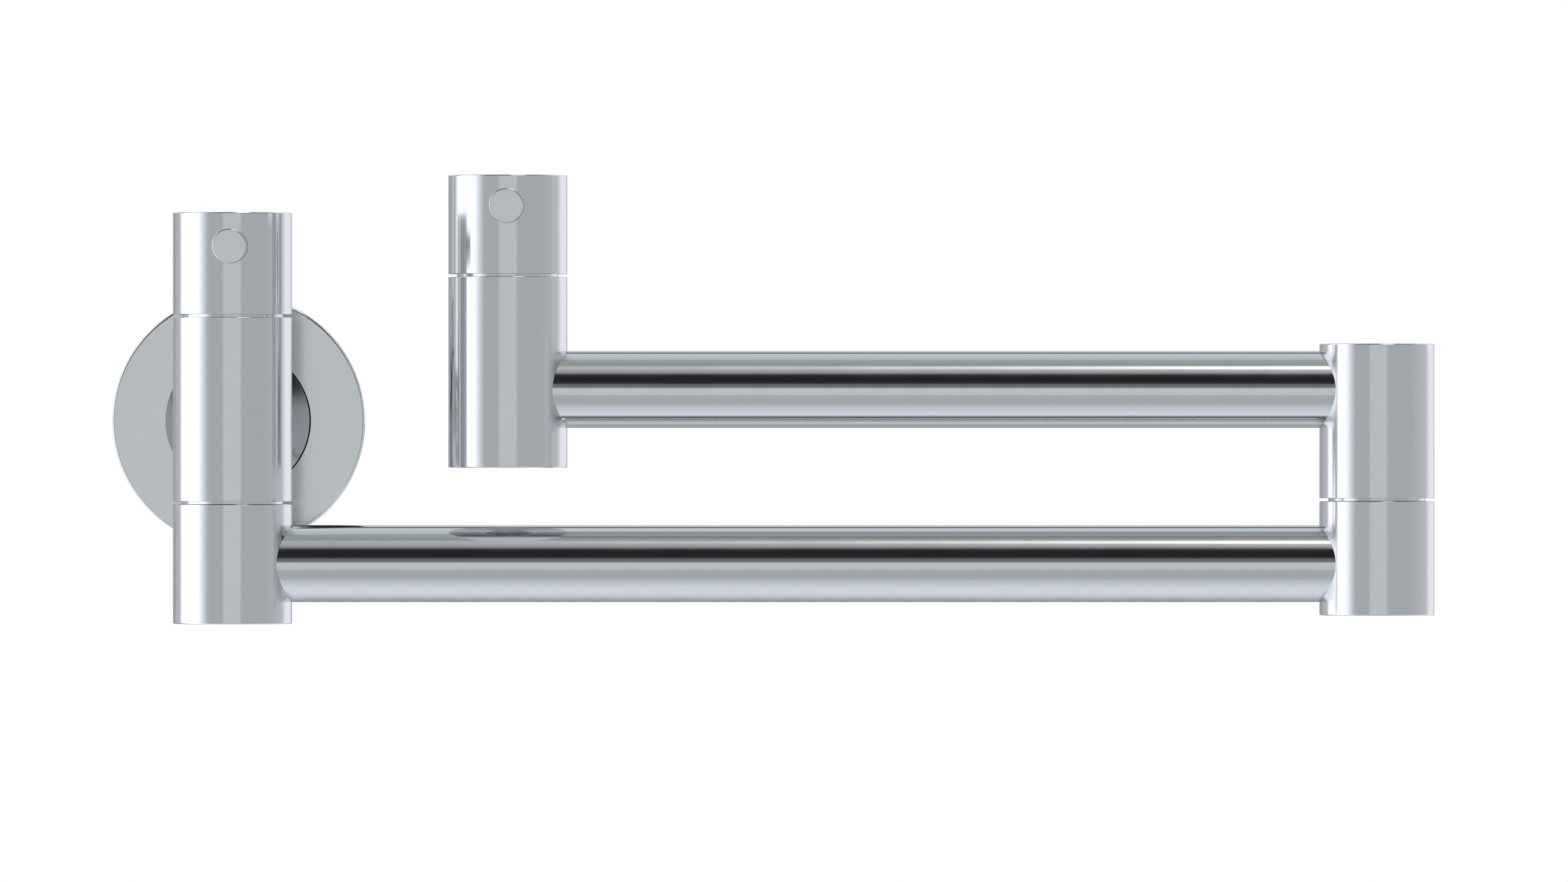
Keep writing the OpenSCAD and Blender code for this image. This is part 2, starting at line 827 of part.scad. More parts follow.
at_elbow() spindle_washer(lower_elbow_low + tail_cavity_h);  // elbow_spindle_washer
at_elbow() spindle_nut(lower_elbow_low + tail_cavity_h);  // elbow_spindle_nut
arm_tube(outlet_x, lower_reach, upper_z);  // upper_tube
outlet_body();
at_outlet() valve_body(outlet_top);  // outlet_valve_body
at_outlet() valve_seal(outlet_top);  // outlet_valve_seal
at_outlet() fixed_disc(outlet_top);  // outlet_fixed_disc
at_outlet() valve_o_ring(outlet_top);  // outlet_valve_o_ring
at_outlet() bonnet_ring(outlet_top);  // outlet_bonnet_ring
aerator_housing();
aerator_screen();
aerator_washer();
at_outlet() knob(outlet_top + gap, outlet_knob_h);  // outlet_knob
at_outlet() lever(outlet_top + gap);  // outlet_lever
at_outlet() knob_insert(outlet_top + gap);  // outlet_knob_insert
at_outlet() valve_stem(outlet_top);  // outlet_stem
at_outlet() moving_disc(outlet_top);  // outlet_moving_disc
at_outlet() stem_o_ring(outlet_top);  // outlet_stem_o_ring
at_outlet() stem_clip(outlet_top);  // outlet_stem_clip
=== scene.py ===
# Looks for the wall mounted pot filler: polished chrome bars and tubes in a plain white studio.
# Lengths are in metres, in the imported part's own frame: the wall is Y = 0 and the room is at -Y.
import json
import math

import bpy
import bmesh
from mathutils import Matrix, Vector


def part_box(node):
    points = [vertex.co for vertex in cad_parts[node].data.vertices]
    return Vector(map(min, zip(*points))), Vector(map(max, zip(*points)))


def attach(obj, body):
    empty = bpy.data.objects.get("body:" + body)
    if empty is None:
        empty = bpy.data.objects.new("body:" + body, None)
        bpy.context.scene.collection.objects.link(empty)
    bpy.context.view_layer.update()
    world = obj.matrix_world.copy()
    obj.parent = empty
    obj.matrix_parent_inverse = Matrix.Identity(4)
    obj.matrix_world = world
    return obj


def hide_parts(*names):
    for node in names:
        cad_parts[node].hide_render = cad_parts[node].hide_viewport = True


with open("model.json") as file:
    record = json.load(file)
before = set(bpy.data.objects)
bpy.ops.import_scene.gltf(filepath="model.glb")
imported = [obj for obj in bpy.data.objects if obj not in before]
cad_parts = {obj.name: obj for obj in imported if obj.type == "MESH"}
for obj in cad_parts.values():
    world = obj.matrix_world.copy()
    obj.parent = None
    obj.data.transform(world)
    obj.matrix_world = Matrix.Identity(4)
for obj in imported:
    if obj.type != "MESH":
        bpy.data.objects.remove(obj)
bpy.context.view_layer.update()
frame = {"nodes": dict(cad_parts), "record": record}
NODES = frame["nodes"]
MM = 0.001

# Directions
UP = Vector((0, 0, 1))
RIGHT = Vector((1, 0, 0))
LEFT = Vector((-1, 0, 0))
TO_WALL = Vector((0, 1, 0))
TO_ROOM = Vector((0, -1, 0))

# Fineness and tolerances of the turned pieces
SEGMENTS = 256
FLANGE_SEGMENTS = 512
ARC_STEPS = 8
SUPPORT = 0.12 * MM
SHARP_ANGLE = math.radians(28)
ON_AXIS = 1e-7
ON_ROUND = 2e-6
FACES_OUT = 0.99

# Fillets
END_FILLET = 0.4 * MM
GAP_FILLET = 0.2 * MM
RING_FILLET = 0.1 * MM
PLUG_FILLET = 0.3 * MM
LEVER_FILLET = 0.35 * MM
FLANGE_FILLET = 0.7 * MM
COLLAR_FILLET = 0.3 * MM
SHOULDER_FILLET = 0.8 * MM

# Clearances: soldered or screwed, free, and under a slip ring, then how far a cut runs past a face
FIT = 0.05 * MM
FREE = 0.3 * MM
PLAY = 0.01 * MM
OVERRUN = 1 * MM

# Tubes, neck and levers: how far from a bar's axis they end, and the bores behind them
PORT_R = 5 * MM
TUBE_WALL = 1.5 * MM
TUBE_SEAT = 12 * MM
NECK_R = 13.2 * MM
NECK_SEAT = 11.6 * MM
LEVER_SEAT = 13.8 * MM
LEVER_THREAD_R = 3 * MM

# Bores for a cartridge, and the ring round its bonnet
SHOULDER_DEPTH = 7 * MM
VALVE_RING_R = 11.6 * MM
VALVE_RING_DEPTH = 8.15 * MM
VALVE_THREAD_R = 10.5 * MM
VALVE_THREAD_DEPTH = 19.3 * MM
CHAMBER_R = 9.5 * MM
CHAMBER_DEPTH = 39 * MM
SEAT_R = 4.5 * MM
BONNET_WALL = 1 * MM

# Bores for a spindle, its slip ring, its washer and nut, and the plug below them
SPINDLE_R = 8.05 * MM
SPINDLE_THREAD_R = 9.05 * MM
SPINDLE_THREAD_DEPTH = 13.3 * MM
SLIP_RING_BORE_R = 11.05 * MM
SLIP_RING_RECESS = 2 * MM
NUT_CAVITY_R = 11.3 * MM
NUT_CAVITY_DEPTH = 7 * MM
PLUG_RECESS = 2.5 * MM
SPANNER_HOLE_R = 1.2 * MM
SPANNER_HOLE_DEPTH = 1.4 * MM
SPANNER_HOLE_OFFSET = 8 * MM

# Bores in the knobs and for the aerator
SKIRT_DEPTH = 9 * MM
INSERT_R = 8 * MM
INSERT_DEPTH = 23.55 * MM
AERATOR_DEPTH = 10.5 * MM

# The flange's hollow back, its hub, the grooves for its gasket and o-ring, and the gap round the collar
FLANGE_PLATE = 2.4 * MM
FLANGE_RIM = 4 * MM
HUB_WALL = 3.8 * MM
HUB_BACK = 3 * MM
GASKET_W = 2 * MM
GASKET_T = 1.5 * MM
TAIL_RING_D = 1.5 * MM
TAIL_RING_PLACE = 4.5 * MM
COLLAR_GAP_DEPTH = 1.6 * MM

# The neck's collar, flare, thread, water way and seal
COLLAR_L = 7 * MM
FLARE_L = 21 * MM
FLARE_ANGLE = math.radians(15.5)
INLET_THREAD_R = 9.3 * MM
INLET_THREAD_L = 15 * MM
WATER_WAY_R = 6 * MM
NECK_SEAL_R = 9.55 * MM
NECK_SEAL_T = 1.2 * MM


def size_of(node):
    """Lowest corner, highest corner and middle of a node at rest."""
    low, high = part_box(node)
    return low, high, (low + high) / 2


def axis_of(node):
    """X and Y of a vertical piece's axis."""
    middle = size_of(node)[2]
    return middle.x, middle.y


def radius_of(node):
    """Radius of a piece that is round seen from above or from the front."""
    low, high, _ = size_of(node)
    return (high.x - low.x) / 2


def tube_radius(node):
    """Radius of a piece that lies along X."""
    low, high, _ = size_of(node)
    return (high.z - low.z) / 2


# Outlines of turned pieces are closed loops of (radius, height) points

def fillet(corner, before, after, radius):
    """Points of a round corner, with a support point a little way along each side."""
    corner = Vector(corner)
    back = (Vector(before) - corner).normalized()
    ahead = (Vector(after) - corner).normalized()
    half = back.angle(ahead) / 2
    reach = radius / math.tan(half)
    centre = corner + (back + ahead).normalized() * radius / math.sin(half)
    start = corner + back * reach - centre
    end = corner + ahead * reach - centre
    turn = start.angle_signed(end)
    points = [corner + back * (reach + SUPPORT)]
    for i in range(ARC_STEPS + 1):
        angle = -turn * i / ARC_STEPS
        spun = Vector((start.x * math.cos(angle) - start.y * math.sin(angle),
                       start.x * math.sin(angle) + start.y * math.cos(angle)))
        points.append(centre + spun)
    points.append(corner + ahead * (reach + SUPPORT))
    return [tuple(point) for point in points]


def outline(corners):
    """Closed loop through (radius, height, fillet) corners."""
    points = []
    for i, (radius, height, rounding) in enumerate(corners):
        if rounding:
            before = corners[i - 1][:2]
            after = corners[(i + 1) % len(corners)][:2]
            points += fillet((radius, height), before, after, rounding)
        else:
            points.append((radius, height))
    return points


def smooth(mesh):
    """Shades a mesh smooth but for its sharp edges."""
    mesh.shade_smooth()
    mesh.set_sharp_from_angle(angle=SHARP_ANGLE)


def turned(name, corners, origin, axis=UP, segments=SEGMENTS):
    """A lathe-turned piece from its outline's corners, placed with its axis through origin."""
    bm = bmesh.new()
    rings = []
    for radius, height in outline(corners):
        if radius < ON_AXIS:
            rings.append([bm.verts.new((0, 0, height))])
            continue
        ring = []
        for i in range(segments):
            angle = 2 * math.pi * i / segments
            ring.append(bm.verts.new((radius * math.cos(angle), radius * math.sin(angle), height)))
        rings.append(ring)
    for lower, upper in zip(rings, rings[1:] + rings[:1]):
        for i in range(segments):
            j = (i + 1) % segments
            around = [lower[i % len(lower)], lower[j % len(lower)],
                      upper[j % len(upper)], upper[i % len(upper)]]
            distinct = list(dict.fromkeys(around))
            if len(distinct) > 2:
                bm.faces.new(distinct)
    bmesh.ops.recalc_face_normals(bm, faces=bm.faces)
    turn = UP.rotation_difference(axis).to_matrix().to_4x4()
    bm.transform(Matrix.Translation(Vector(origin)) @ turn)
    mesh = bpy.data.meshes.new(name)
    bm.to_mesh(mesh)
    bm.free()
    smooth(mesh)
    piece = bpy.data.objects.new(name, mesh)
    bpy.context.scene.collection.objects.link(piece)
    return piece


def drill(piece, start, end, radius):
    """Cuts a round hole between two points."""
    length = (end - start).length
    corners = [(0, 0, 0), (radius, 0, 0), (radius, length, 0), (0, length, 0)]
    cutter = turned("cutter", corners, start, end - start)
    cut = piece.modifiers.new("cut", "BOOLEAN")
    cut.operation = "DIFFERENCE"
    cut.solver = "EXACT"
    cut.object = cutter
    depsgraph = bpy.context.evaluated_depsgraph_get()
    mesh = bpy.data.meshes.new_from_object(piece.evaluated_get(depsgraph))
    piece.modifiers.remove(cut)
    piece.data = mesh
    bpy.data.objects.remove(cutter)


def true_round(piece, cylinders):
    """Sets exact normals where a face lies on one of these cylinders, each (origin, axis, radius)."""
    mesh = piece.data
    smooth(mesh)
    normals = [Vector(normal.vector) for normal in mesh.corner_normals]
    for origin, axis, radius in cylinders:
        radials = []
        for vertex in mesh.vertices:
            arm = vertex.co - origin
            arm -= axis * arm.dot(axis)
            radials.append(arm.normalized() if abs(arm.length - radius) < ON_ROUND else None)
        for face in mesh.polygons:
            for i in face.loop_indices:
                radial = radials[mesh.loops[i].vertex_index]
                facing = radial.dot(face.normal) if radial else 0
                if abs(facing) > FACES_OUT:
                    normals[i] = radial if facing > 0 else -radial
    mesh.normals_split_custom_set(normals)


# Node trees are built from small expressions

class Tree:
    """Adds nodes to a node tree and wires plain numbers or sockets into them."""

    def __init__(self, node_tree):
        self.node_tree = node_tree
        node_tree.nodes.clear()

    def add(self, kind, inputs=None, **settings):
        """A node with these settings and inputs."""
        node = self.node_tree.nodes.new(kind)
        for key, value in settings.items():
            setattr(node, key, value)
        for key, value in (inputs or {}).items():
            self.wire(value, node.inputs[key])
        return node

    def wire(self, value, socket):
        """Links a socket, or sets a plain value."""
        if isinstance(value, bpy.types.NodeSocket):
            self.node_tree.links.new(value, socket)
        else:
            socket.default_value = value

    def math(self, operation, first, second=0.0, clamp=False):
        """The result of a Math node."""
        inputs = {0: first, 1: second}
        return self.add("ShaderNodeMath", inputs, operation=operation, use_clamp=clamp).outputs[0]

    def step(self, value, low, high):
        """0 below low, 1 above high, smooth between."""
        inputs = {"Value": value, "From Min": low, "From Max": high}
        node = self.add("ShaderNodeMapRange", inputs, interpolation_type="SMOOTHSTEP", clamp=True)
        return node.outputs["Result"]

    def window(self, value, low, high, soft):
        """1 between low and high, with soft flanks."""
        rise = self.step(value, low - soft, low + soft)
        fall = self.step(value, high - soft, high + soft)
        return self.math("SUBTRACT", rise, fall, clamp=True)

    def mix(self, factor, first, second):
        """A colour between two colours."""
        node = self.add("ShaderNodeMix", {0: factor, 6: first, 7: second}, data_type="RGBA")
        return node.outputs[2]


# Materials

CHROME = (0.69, 0.70, 0.712, 1)
CHROME_EDGE = 0.9

# How metal varies: a thin film in its gloss and a fine grain in its colour and relief
FILM_SCALE = 55.0
FILM_SHARE = 0.08
NOISE_LOW = 0.3
NOISE_HIGH = 0.7
DARKEST_GRAIN = 0.985
METAL_BUMP = 0.02 * MM

# How rubber and ceramic vary: pale clouds in the colour and a fine grain in the gloss and relief
CLOUD_SCALE = 90.0
CLOUD_GAIN = 1.25
CLOUD_LIFT = 0.004
GRAIN_SHARE = 0.2
DULL_BUMP = 0.05 * MM


def new_material(name):
    """A material and its empty tree."""
    material = bpy.data.materials.new(name)
    material.use_nodes = True
    return material, Tree(material.node_tree)


def metal(name, colour, roughness, grain, grain_scale, streak=1.0, edge=1.0):
    """Polished or machined metal: roughness and bump vary a little, as a buffed surface does."""
    material, tree = new_material(name)
    middle = {"From Min": NOISE_LOW, "From Max": NOISE_HIGH}
    place = tree.add("ShaderNodeTexCoord").outputs["Object"]
    film = tree.add("ShaderNodeTexNoise", {"Vector": place, "Scale": FILM_SCALE, "Detail": 3.0})
    stretched = tree.add("ShaderNodeMapping", {"Vector": place, "Scale": (1, 1, streak)}).outputs[0]
    fine = tree.add("ShaderNodeTexNoise", {"Vector": stretched, "Scale": grain_scale, "Detail": 4.0})
    spread = tree.add("ShaderNodeMapRange", {"Value": film.outputs["Fac"], **middle,
                                             "To Min": roughness * (1 - FILM_SHARE),
                                             "To Max": roughness * (1 + FILM_SHARE)})
    shade = tree.add("ShaderNodeMapRange", {"Value": fine.outputs["Fac"], **middle,
                                            "To Min": DARKEST_GRAIN, "To Max": 1.0})
    tint = tree.add("ShaderNodeVectorMath", {0: colour[:3], "Scale": shade.outputs["Result"]},
                    operation="SCALE")
    bump = tree.add("ShaderNodeBump", {"Height": fine.outputs["Fac"], "Strength": grain,
                                       "Distance": METAL_BUMP})
    shader = tree.add("ShaderNodeBsdfPrincipled", {
        "Base Color": tint.outputs[0], "Metallic": 1.0, "Roughness": spread.outputs["Result"],
        "Specular Tint": (edge, edge, edge, 1), "Normal": bump.outputs[0]})
    tree.add("ShaderNodeOutputMaterial", {"Surface": shader.outputs[0]})
    return material


def dull(name, colour, roughness, grain, grain_scale):
    """Rubber or ceramic: a plain body colour with a fine moulded or lapped grain."""
    material, tree = new_material(name)
    place = tree.add("ShaderNodeTexCoord").outputs["Object"]
    fine = tree.add("ShaderNodeTexNoise", {"Vector": place, "Scale": grain_scale, "Detail": 5.0})
    cloud = tree.add("ShaderNodeTexNoise", {"Vector": place, "Scale": CLOUD_SCALE})
    paler = tuple(min(1, share * CLOUD_GAIN + CLOUD_LIFT) for share in colour[:3]) + (1,)
    body = tree.mix(cloud.outputs["Fac"], colour, paler)
    spread = tree.add("ShaderNodeMapRange", {"Value": fine.outputs["Fac"],
                                             "To Min": roughness * (1 - GRAIN_SHARE),
                                             "To Max": roughness * (1 + GRAIN_SHARE)})
    bump = tree.add("ShaderNodeBump", {"Height": fine.outputs["Fac"], "Strength": grain,
                                       "Distance": DULL_BUMP})
    shader = tree.add("ShaderNodeBsdfPrincipled", {
        "Base Color": body, "Roughness": spread.outputs["Result"], "Normal": bump.outputs[0]})
    tree.add("ShaderNodeOutputMaterial", {"Surface": shader.outputs[0]})
    return material


MATERIALS = {
    "chrome": metal("chrome", CHROME, roughness=0.13, grain=0.004, grain_scale=260.0, edge=CHROME_EDGE),
    "polished_ring": metal("polished_ring", CHROME, roughness=0.16, grain=0.05, grain_scale=900.0,
                           streak=12.0, edge=CHROME_EDGE),
    "brass": metal("brass", (0.74, 0.52, 0.22, 1), roughness=0.22, grain=0.3, grain_scale=1500.0,
                   streak=14.0),
    "stainless": metal("stainless", (0.78, 0.78, 0.79, 1), roughness=0.2, grain=0.06, grain_scale=1200.0),
    "rubber": dull("rubber", (0.018, 0.018, 0.019, 1), roughness=0.62, grain=0.35, grain_scale=2600.0),
    "ceramic": dull("ceramic", (0.86, 0.85, 0.82, 1), roughness=0.18, grain=0.05, grain_scale=3000.0),
}
SLOTS = {part["node"]: part["material_slot"] for part in frame["record"]["subparts"]}
BODIES = frame["record"]["behaviour"]["bodies"]
BODY_OF = {node: body for body, nodes in BODIES.items() for node in nodes}
for name, node in NODES.items():
    node.data.materials.clear()
    node.data.materials.append(MATERIALS[SLOTS[name]])


def replace(node, piece):
    """Puts a turned piece in a CAD node's place, on its body and with its slot and material."""
    piece.data.materials.clear()
    piece.data.materials.append(MATERIALS[SLOTS[node]])
    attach(piece, BODY_OF[node])
    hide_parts(node)


# Turned pieces

def bored_bar(node, fillets, low_bores, high_bores, through, side, socket):
    """A vertical bar with stepped bores from both ends and a socket in one side.

    Bores are (radius, depth) with the widest first, and meet in a through bore where there is one.
    A socket is (height, distance of its bottom from the axis, radius, radius of the bore behind it).
    """
    low, high, _ = size_of(node)
    bar_r = radius_of(node)
    corners = [(bar_r, low.z, fillets[0]), (bar_r, high.z, fillets[1])]
    level = high.z
    for bore_r, depth in high_bores:
        corners += [(bore_r, level, 0), (bore_r, high.z - depth, 0)]
        level = high.z - depth
    depths = [0] + [depth for _, depth in low_bores]
    corners += [(through, level, 0), (through, low.z + depths[-1], 0)]
    for (bore_r, depth), mouth in reversed(list(zip(low_bores, depths))):
        corners += [(bore_r, low.z + depth, 0), (bore_r, low.z + mouth, 0)]
    x, y = axis_of(node)
    axis_foot = Vector((x, y, 0))
    piece = turned(node + "_turned", corners, axis_foot)
    height, seat, socket_r, port_r = socket
    centre = Vector((x, y, height))
    drill(piece, centre + side * seat, centre + side * (bar_r + OVERRUN), socket_r)
    drill(piece, centre, centre + side * (seat + FREE), port_r)
    radii = [bar_r, through] + [bore_r for bore_r, _ in (*low_bores, *high_bores)]
    true_round(piece, [(axis_foot, UP, radius) for radius in radii]
               + [(centre, side, radius) for radius in (socket_r, port_r)])
    replace(node, piece)


def tube_socket(tube):
    """Socket for a tube, with the water way behind it."""
    return size_of(tube)[2].z, TUBE_SEAT, tube_radius(tube) + FIT, PORT_R


def lever_socket(lever_node):
    """Socket for a lever, with its thread behind it."""
    return size_of(lever_node)[2].z, LEVER_SEAT, radius_of(lever_node) + FIT, LEVER_THREAD_R + FIT


def plain_ring(node, bore_r):
    """A flat ring on a vertical axis."""
    low, high, _ = size_of(node)
    ring_r = radius_of(node)
    foot = low.z + PLAY
    corners = [(ring_r, foot, RING_FILLET), (ring_r, high.z, RING_FILLET),
               (bore_r, high.z, 0), (bore_r, foot, 0)]
    replace(node, turned(node + "_turned", corners, (*axis_of(node), 0)))


def arm_tube(node):
    """A straight tube along X."""
    low, high, middle = size_of(node)
    tube_r = tube_radius(node)
    bore_r = tube_r - TUBE_WALL
    corners = [(tube_r, low.x, 0), (tube_r, high.x, 0), (bore_r, high.x, 0), (bore_r, low.x, 0)]
    replace(node, turned(node + "_turned", corners, (0, middle.y, middle.z), RIGHT))


def plug(node):
    """A screwed plug with two spanner holes."""
    low, high, middle = size_of(node)
    plug_r = radius_of(node)
    corners = [(0, low.z, 0), (plug_r, low.z, PLUG_FILLET), (plug_r, high.z, GAP_FILLET), (0, high.z, 0)]
    piece = turned(node + "_turned", corners, (middle.x, middle.y, 0))
    for offset in (-SPANNER_HOLE_OFFSET, SPANNER_HOLE_OFFSET):
        mouth = Vector((middle.x, middle.y + offset, low.z))
        drill(piece, mouth - UP * OVERRUN, mouth + UP * SPANNER_HOLE_DEPTH, SPANNER_HOLE_R)
    true_round(piece, [(middle, UP, plug_r)])
    replace(node, piece)


def lever(node, knob):
    """A round pin that points out of the wall, with its threaded end inside the knob."""
    low, high, middle = size_of(node)
    lever_r = radius_of(node)
    seat = LEVER_SEAT - axis_of(knob)[1]
    corners = [(0, -low.y, 0), (lever_r, -low.y, LEVER_FILLET), (lever_r, seat, 0),
               (LEVER_THREAD_R, seat, 0), (LEVER_THREAD_R, -high.y, 0), (0, -high.y, 0)]
    replace(node, turned(node + "_turned", corners, (middle.x, 0, middle.z), TO_ROOM))


def wall_flange(node):
    """Round cover plate with a hollow back and a hub, and a narrow gap round the neck's collar."""
    flange_r = radius_of(node)
    front = -size_of(node)[0].y
    bore_r = NECK_R + FIT
    hub_r = bore_r + HUB_WALL
    rim_r = flange_r - FLANGE_RIM
    plate_back = front - FLANGE_PLATE
    groove_middle = flange_r - FLANGE_RIM / 2
    groove_inner = groove_middle - GASKET_W / 2 - FIT
    groove_outer = groove_middle + GASKET_W / 2 + FIT
    ring_r = bore_r + TAIL_RING_D
    ring_high = TAIL_RING_PLACE + TAIL_RING_D + 2 * FIT
    collar_r = radius_of("inlet_neck")
    corners = [(bore_r, front, 0), (collar_r, front, 0), (collar_r, front - COLLAR_GAP_DEPTH, 0),
               (collar_r + FREE, front, 0), (flange_r, front, FLANGE_FILLET), (flange_r, 0, END_FILLET),
               (groove_outer, 0, 0), (groove_outer, GASKET_T, 0), (groove_inner, GASKET_T, 0),
               (groove_inner, 0, 0), (rim_r, 0, 0), (rim_r, plate_back, 0), (hub_r, plate_back, 0),
               (hub_r, HUB_BACK, 0), (bore_r, HUB_BACK, 0), (bore_r, TAIL_RING_PLACE, 0),
               (ring_r, TAIL_RING_PLACE, 0), (ring_r, ring_high, 0), (bore_r, ring_high, 0)]
    replace(node, turned(node + "_turned", corners, (0, 0, 0), TO_ROOM, FLANGE_SEGMENTS))


def inlet_neck(node, flange):
    """Turned neck with a collar on the flange and a conical flare that ends in a shoulder."""
    collar_r = radius_of(node)
    front = -size_of(flange)[0].y
    flare_foot = front + COLLAR_L
    shoulder = flare_foot + FLARE_L
    shoulder_r = collar_r - FLARE_L * math.tan(FLARE_ANGLE)
    end = -size_of(node)[0].y
    seal_seat = end - NECK_SEAL_T
    corners = [(NECK_R, 0, 0), (NECK_R, front, 0), (collar_r, front, 0),
               (collar_r, flare_foot, COLLAR_FILLET), (shoulder_r, shoulder, SHOULDER_FILLET),
               (NECK_R, shoulder, 0), (NECK_R, end, 0), (NECK_SEAL_R, end, 0),
               (NECK_SEAL_R, seal_seat, 0), (WATER_WAY_R, seal_seat, 0), (WATER_WAY_R, INLET_THREAD_L, 0),
               (INLET_THREAD_R, INLET_THREAD_L, 0), (INLET_THREAD_R, 0, 0)]
    replace(node, turned(node + "_turned", corners, (0, 0, 0), TO_ROOM))


BONNET_R = radius_of("wall_bonnet_ring")
CARTRIDGE_BORES = [(BONNET_R + FIT, SHOULDER_DEPTH), (VALVE_RING_R, VALVE_RING_DEPTH),
                   (VALVE_THREAD_R, VALVE_THREAD_DEPTH), (CHAMBER_R, CHAMBER_DEPTH)]
SPINDLE_THREAD = (SPINDLE_THREAD_R, SPINDLE_THREAD_DEPTH)
PLUG_BORES = [(radius_of("swivel_plug") + FIT, PLUG_RECESS), (NUT_CAVITY_R, NUT_CAVITY_DEPTH)]
AERATOR_BORE = (radius_of("aerator_housing") + FIT, AERATOR_DEPTH)
KNOB_BORES = [(BONNET_R + FREE, SKIRT_DEPTH), (INSERT_R, INSERT_DEPTH)]
ELBOW_WATER_WAY = (PORT_R, size_of("upper_tube")[2].z + PORT_R - size_of("upper_elbow")[0].z)

bored_bar("wall_body", (GAP_FILLET, GAP_FILLET),
          [(radius_of("wall_slip_ring") + FIT, SLIP_RING_RECESS), SPINDLE_THREAD],
          CARTRIDGE_BORES, SEAT_R, TO_WALL, (0, NECK_SEAT, NECK_R + FIT, PORT_R))
bored_bar("outlet_body", (END_FILLET, GAP_FILLET), [AERATOR_BORE],
          CARTRIDGE_BORES, SEAT_R, RIGHT, tube_socket("upper_tube"))
bored_bar("swivel_body", (END_FILLET, GAP_FILLET), PLUG_BORES,
          [], SPINDLE_R, RIGHT, tube_socket("lower_tube"))
bored_bar("lower_elbow", (END_FILLET, GAP_FILLET), PLUG_BORES,
          [], SPINDLE_R, LEFT, tube_socket("lower_tube"))
bored_bar("upper_elbow", (GAP_FILLET, END_FILLET),
          [(radius_of("elbow_slip_ring") + FIT, SLIP_RING_RECESS), SPINDLE_THREAD, ELBOW_WATER_WAY],
          [], 0, LEFT, tube_socket("upper_tube"))
for valve in ("wall", "outlet"):
    bored_bar(valve + "_knob", (GAP_FILLET, END_FILLET), KNOB_BORES,
              [], 0, TO_ROOM, lever_socket(valve + "_lever"))
for name in ("wall_bonnet_ring", "outlet_bonnet_ring"):
    plain_ring(name, BONNET_R - BONNET_WALL)
for name in ("wall_slip_ring", "elbow_slip_ring"):
    plain_ring(name, SLIP_RING_BORE_R)
for name in ("lower_tube", "upper_tube"):
    arm_tube(name)
for name in ("swivel_plug", "elbow_plug"):
    plug(name)
for valve in ("wall", "outlet"):
    lever(valve + "_lever", valve + "_knob")
wall_flange("wall_flange")
inlet_neck("inlet_neck", "wall_flange")


# Studio: what polished metal sees round it, white for the camera, plain pale light for the rest

WALL_GREY = (161, 167, 171)

# Surfaces round the horizon: bearings in degrees where one starts and where it is full, and its colour
ROUND_THE_HORIZON = [
    (-122.0, -132.0, (180, 183, 189)),   # pale edge behind the left softbox
    (-128.0, -150.0, (154, 157, 162)),   # wall behind the part
    (68.0, 84.0, (170, 173, 178)),       # right wall
    (93.0, 99.0, (178, 180, 186)),       # its far end
    (156.0, 168.0, (178, 180, 187)),     # wall behind the part, on the right
]

# Surfaces from under the camera and over the top to the wall behind, in the same way: floor, then ceiling
OVER_THE_TOP = [
    (-42.0, -58.0, (188, 194, 202)),     # floor in front of the part
    (-58.0, -80.0, (206, 211, 223)),     # floor below the part
    (-98.0, -150.0, (150, 155, 159)),    # foot of the wall behind
    (3.5, 4.5, (99, 99, 100)),           # top of the front wall
    (15.5, 17.0, (26, 26, 28)),          # black front of the ceiling
    (43.1, 54.1, (145, 150, 153)),       # grey ceiling
    (56.0, 64.0, (149, 154, 157)),       # a little paler over the part
    (97.0, 102.0, (172, 185, 191)),      # pale ceiling behind
    (108.0, 126.0, (192, 199, 207)),     # top of the wall behind
]

# Beams across the ceiling: from, to, softness and colour
BEAMS = [
    (74.5, 84.0, 2.0, (133, 142, 143)),
    (135.0, 145.0, 1.5, (78, 80, 83)),
]


def linear(level):
    """A screen level, 0 to 255, as the linear share that renders so."""
    share = level / 255
    return share / 12.92 if share <= 0.04045 else ((share + 0.055) / 1.055) ** 2.4


def shown(colour, gain=1.0):
    """The light that chrome shows as this screen colour."""
    return tuple(gain * linear(level) / tint for level, tint in zip(colour, CHROME)) + (1,)


def painted(tree, angle, surfaces):
    """A grey wall with these surfaces painted over it, one after the other."""
    colour = shown(WALL_GREY)
    for start, full, surface in surfaces:
        colour = tree.mix(tree.step(angle, start, full), colour, shown(surface))
    return colour


def with_panels(tree, seen, x, bearing, over, level):
    """Adds a pale card round the camera, softboxes at the left and right and two panels overhead."""
    upright = tree.window(level, -48.0, 48.0, 6.0)
    left = tree.math("MULTIPLY", tree.step(bearing, -43.0, -74.0), tree.step(bearing, -125.0, -111.0))
    right = tree.math("MULTIPLY", tree.step(bearing, 110.0, 130.0), tree.step(bearing, 162.0, 152.0))
    panels = [
        (tree.window(bearing, -16.4, 18.0, 0.5), tree.window(level, -17.3, 4.2, 0.5), (185, 190, 193), 1.0),
        (left, upright, (254, 257, 270), 1.08),
        (right, upright, (227, 229, 239), 1.0),
        (tree.window(over, 62.6, 73.0, 0.5), tree.window(x, 0.029, 0.33, 0.006), (255, 255, 255), 2.0),
        (tree.window(over, 48.0, 76.0, 1.5), tree.window(x, 0.115, 0.42, 0.01), (255, 255, 255), 3.0),
    ]
    for across, along, colour, gain in panels:
        seen = tree.mix(tree.math("MULTIPLY", across, along), seen, shown(colour, gain))
    return seen


